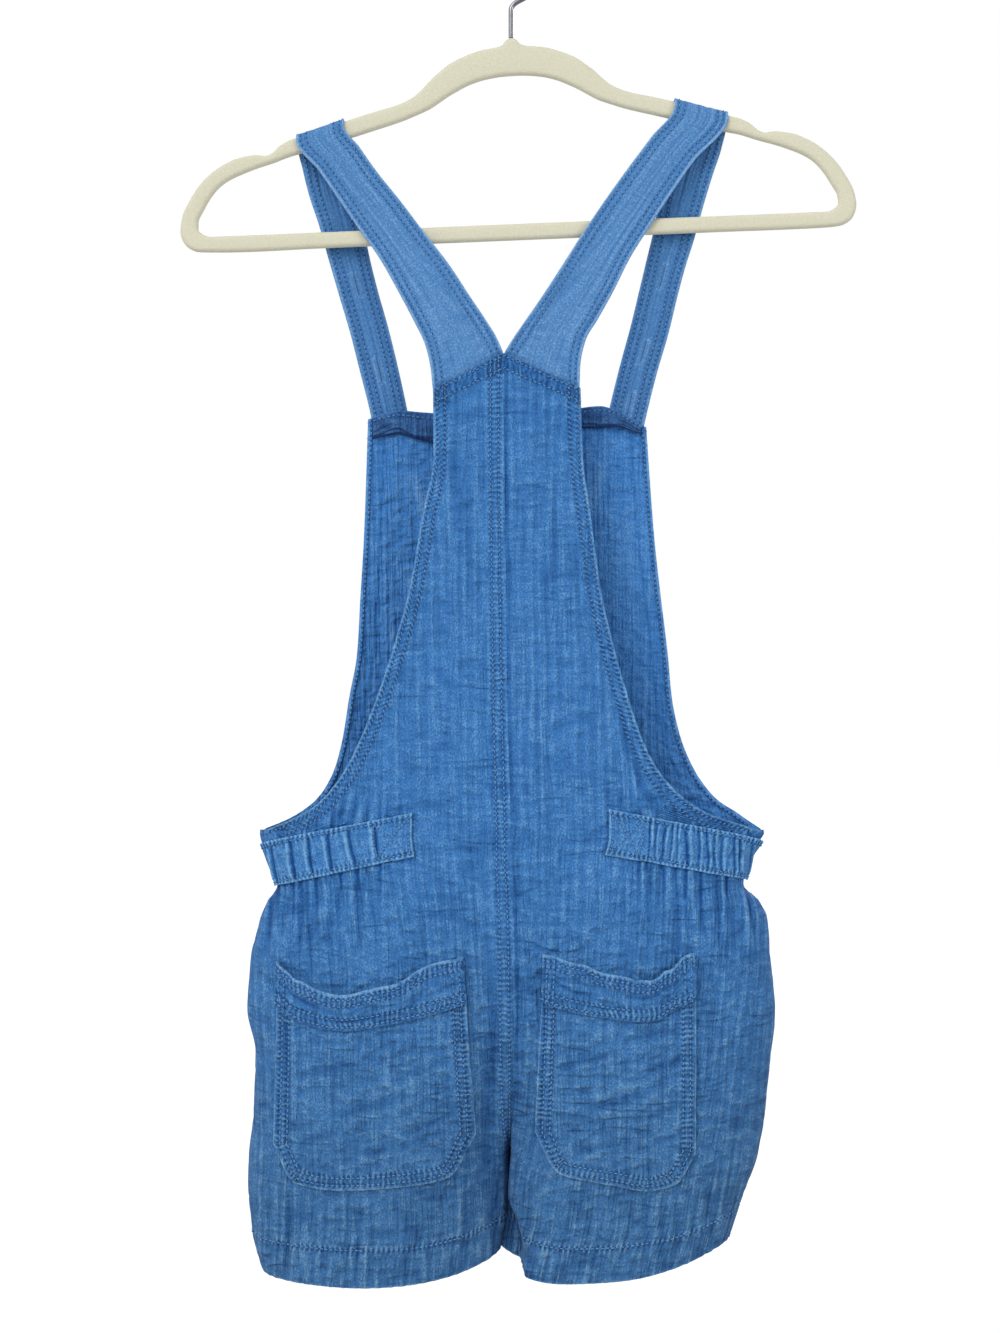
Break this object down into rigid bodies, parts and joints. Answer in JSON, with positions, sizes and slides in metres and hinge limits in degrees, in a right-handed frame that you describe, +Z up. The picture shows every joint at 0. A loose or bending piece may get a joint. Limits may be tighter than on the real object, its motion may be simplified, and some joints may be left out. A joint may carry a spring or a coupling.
{
  "type": "short overalls romper on a clothes hanger",
  "caption": "Sleeveless short overalls romper in crinkled double gauze, hung by its shoulder straps from a slim flocked hanger with a wire hook, its back facing out",
  "frame": {"origin": "the point inside the top of the hook that rests on a rail", "axes": "+X to the right of someone who looks at the garment's back, +Y from the back to the bib, +Z up"},
  "size_m": [0.448, 0.0984, 0.8768],
  "materials": {
    "double_gauze": "matt crinkled cotton double gauze, mid blue",
    "double_gauze_inside": "wrong side of the same gauze, a little darker",
    "button_resin": "satin resin, dyed to the cloth",
    "flocked_plastic": "cream velvet flocking on plastic",
    "hook_chrome": "bright chrome-plated wire"
  },
  "bodies": {
    "root": {"back_left": "double_gauze", "back_right": "double_gauze", "bib_facing": "double_gauze_inside", "button_left": "button_resin", "button_right": "button_resin", "front_left": "double_gauze", "front_right": "double_gauze", "hanger_body": "flocked_plastic", "hanger_hook": "hook_chrome", "pocket_band_left": "double_gauze", "pocket_band_right": "double_gauze", "pocket_left": "double_gauze", "pocket_right": "double_gauze", "strap_left": "double_gauze", "strap_right": "double_gauze", "waist_tab_left": "double_gauze", "waist_tab_right": "double_gauze"}
  },
  "joints": []
}
